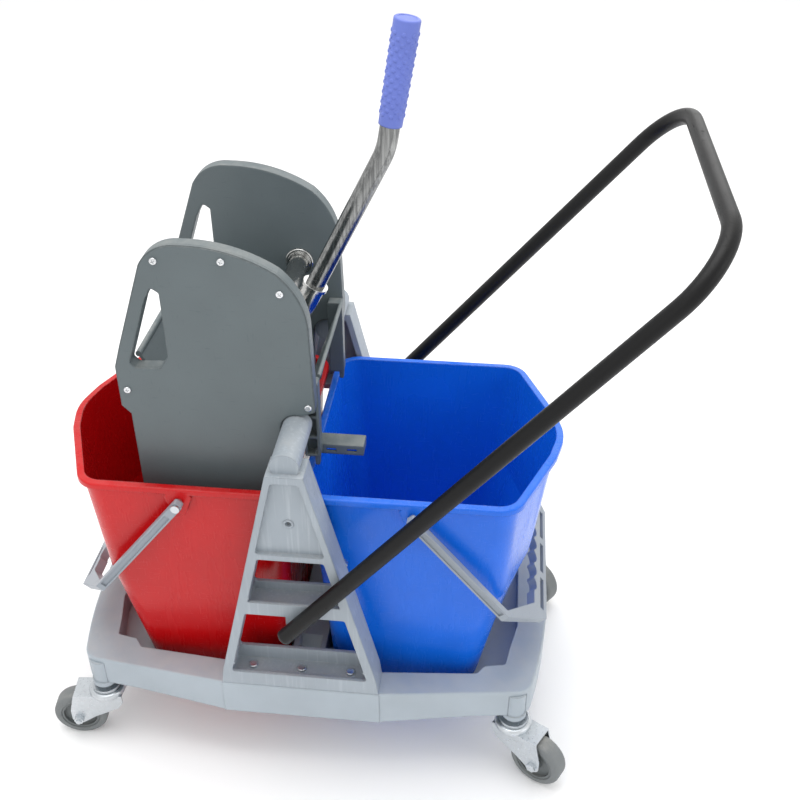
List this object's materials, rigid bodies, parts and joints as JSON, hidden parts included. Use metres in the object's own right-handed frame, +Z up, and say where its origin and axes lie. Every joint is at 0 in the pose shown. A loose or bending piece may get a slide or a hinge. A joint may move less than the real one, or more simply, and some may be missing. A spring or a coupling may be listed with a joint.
{
  "type": "mop bucket trolley with wringer",
  "caption": "Wheeled mopping trolley: twin red and blue buckets end to end, bent push handle, and a lever-driven down-press wringer over the red bucket.",
  "frame": {"origin": "on the floor, under the middle of the whole trolley's box", "axes": "+X towards the blue bucket and the push handle, +Y from the front upright to the rear one, +Z up"},
  "size_m": [0.8876, 0.4912, 1.0369],
  "materials": {
    "base": "moulded light grey",
    "upright": "moulded bluish grey",
    "bail": "moulded bluish grey",
    "wringer": "moulded mid grey",
    "sieve": "moulded mid grey",
    "red": "glossy red moulding",
    "blue": "glossy blue moulding",
    "handle": "black semi-matte powder coat",
    "black_plastic": "black plug",
    "chrome": "bright chrome plate",
    "zinc": "zinc-plated pressed steel",
    "steel": "plain steel",
    "tyre": "grey rubber tread",
    "hub": "dark grey wheel centre",
    "grip": "periwinkle ribbed grip"
  },
  "bodies": {
    "chassis": {"base_frame": "base", "castor_sockets": "base", "front_upright": "upright", "rear_upright": "upright", "upright_screws": "zinc", "push_handle": "handle", "handle_bolts": "zinc", "handle_end_plugs": "black_plastic", "front_left_castor_stem": "zinc", "front_right_castor_stem": "zinc", "rear_left_castor_stem": "zinc", "rear_right_castor_stem": "zinc"},
    "red_bucket": {"red_bucket": "red", "red_bail_pins": "chrome"},
    "blue_bucket": {"blue_bucket": "blue", "blue_bail_pins": "chrome"},
    "red_bail": {"red_bail": "bail"},
    "blue_bail": {"blue_bail": "bail"},
    "wringer": {"front_casing": "wringer", "rear_casing": "wringer", "front_cover": "wringer", "rear_cover": "wringer", "front_cover_screws": "zinc", "rear_cover_screws": "zinc", "fixed_sieve": "sieve", "front_bracket": "wringer", "rear_bracket": "wringer", "rest_arm": "wringer", "axle_flanges": "chrome", "pivot_bushes": "black_plastic", "return_springs": "steel"},
    "lever": {"lever_axle": "chrome", "lever_gears": "steel", "lever_tube": "chrome", "lever_grip": "grip"},
    "press": {"press_shaft": "steel", "press_gears": "steel", "press_plate": "sieve"},
    "front_left_swivel": {"front_left_castor_race": "zinc", "front_left_castor_fork": "zinc", "front_left_castor_axle_bolt": "zinc"},
    "front_left_wheel": {"front_left_castor_hub": "hub", "front_left_castor_tyre": "tyre"},
    "front_right_swivel": {"front_right_castor_race": "zinc", "front_right_castor_fork": "zinc", "front_right_castor_axle_bolt": "zinc"},
    "front_right_wheel": {"front_right_castor_hub": "hub", "front_right_castor_tyre": "tyre"},
    "rear_left_swivel": {"rear_left_castor_race": "zinc", "rear_left_castor_fork": "zinc", "rear_left_castor_axle_bolt": "zinc"},
    "rear_left_wheel": {"rear_left_castor_hub": "hub", "rear_left_castor_tyre": "tyre"},
    "rear_right_swivel": {"rear_right_castor_race": "zinc", "rear_right_castor_fork": "zinc", "rear_right_castor_axle_bolt": "zinc"},
    "rear_right_wheel": {"rear_right_castor_hub": "hub", "rear_right_castor_tyre": "tyre"}
  },
  "joints": [
    {"name": "red_bucket_lift", "type": "slide", "parent": "chassis", "child": "red_bucket", "axis": [0, 0, 1], "range_m": [0, 0.015]},
    {"name": "blue_bucket_lift", "type": "slide", "parent": "chassis", "child": "blue_bucket", "axis": [0, 0, 1], "range_m": [0, 0.015]},
    {"name": "red_bail_swing", "type": "hinge", "parent": "red_bucket", "child": "red_bail", "pos_m": [-0.20739, 0, 0.4544], "axis": [0, 1, 0], "range_deg": [0, 120]},
    {"name": "blue_bail_swing", "type": "hinge", "parent": "blue_bucket", "child": "blue_bail", "pos_m": [0.10261, 0, 0.4544], "axis": [0, -1, 0], "range_deg": [0, 140]},
    {"name": "wringer_lift", "type": "slide", "parent": "chassis", "child": "wringer", "axis": [0, 0, 1], "range_m": [0, 0.3]},
    {"name": "lever_press", "type": "hinge", "parent": "wringer", "child": "lever", "pos_m": [-0.08689, 0, 0.6676], "axis": [0, 1, 0], "range_deg": [0, 48], "stiffness_Nm_per_rad": 1.2, "springref_deg": -51.57},
    {"name": "plate_swing", "type": "hinge", "parent": "wringer", "child": "press", "pos_m": [-0.09289, 0, 0.43368], "axis": [0, 1, 0], "range_deg": [-14.5, 0]},
    {"name": "front_left_swivel_turn", "type": "hinge", "parent": "chassis", "child": "front_left_swivel", "pos_m": [-0.35739, -0.186, 0.0959], "axis": [0, 0, 1], "continuous": true},
    {"name": "front_left_wheel_roll", "type": "hinge", "parent": "front_left_swivel", "child": "front_left_wheel", "pos_m": [-0.40314, -0.19081, 0.04], "axis": [0.1045, -0.9945, 0], "continuous": true},
    {"name": "front_right_swivel_turn", "type": "hinge", "parent": "chassis", "child": "front_right_swivel", "pos_m": [0.25261, -0.186, 0.0959], "axis": [0, 0, 1], "continuous": true},
    {"name": "front_right_wheel_roll", "type": "hinge", "parent": "front_right_swivel", "child": "front_right_wheel", "pos_m": [0.29245, -0.209, 0.04], "axis": [0.5, 0.866, 0], "continuous": true},
    {"name": "rear_left_swivel_turn", "type": "hinge", "parent": "chassis", "child": "rear_left_swivel", "pos_m": [-0.35739, 0.186, 0.0959], "axis": [0, 0, 1], "continuous": true},
    {"name": "rear_left_wheel_roll", "type": "hinge", "parent": "rear_left_swivel", "child": "rear_left_wheel", "pos_m": [-0.40004, 0.20323, 0.04], "axis": [-0.3746, -0.9272, 0], "continuous": true},
    {"name": "rear_right_swivel_turn", "type": "hinge", "parent": "chassis", "child": "rear_right_swivel", "pos_m": [0.25261, 0.186, 0.0959], "axis": [0, 0, 1], "continuous": true},
    {"name": "rear_right_wheel_roll", "type": "hinge", "parent": "rear_right_swivel", "child": "rear_right_wheel", "pos_m": [0.28886, 0.15768, 0.04], "axis": [0.6157, 0.788, 0], "continuous": true}
  ],
  "couplings": [
    {"joint": "plate_swing", "follows": "lever_press", "ratio": -0.3}
  ]
}
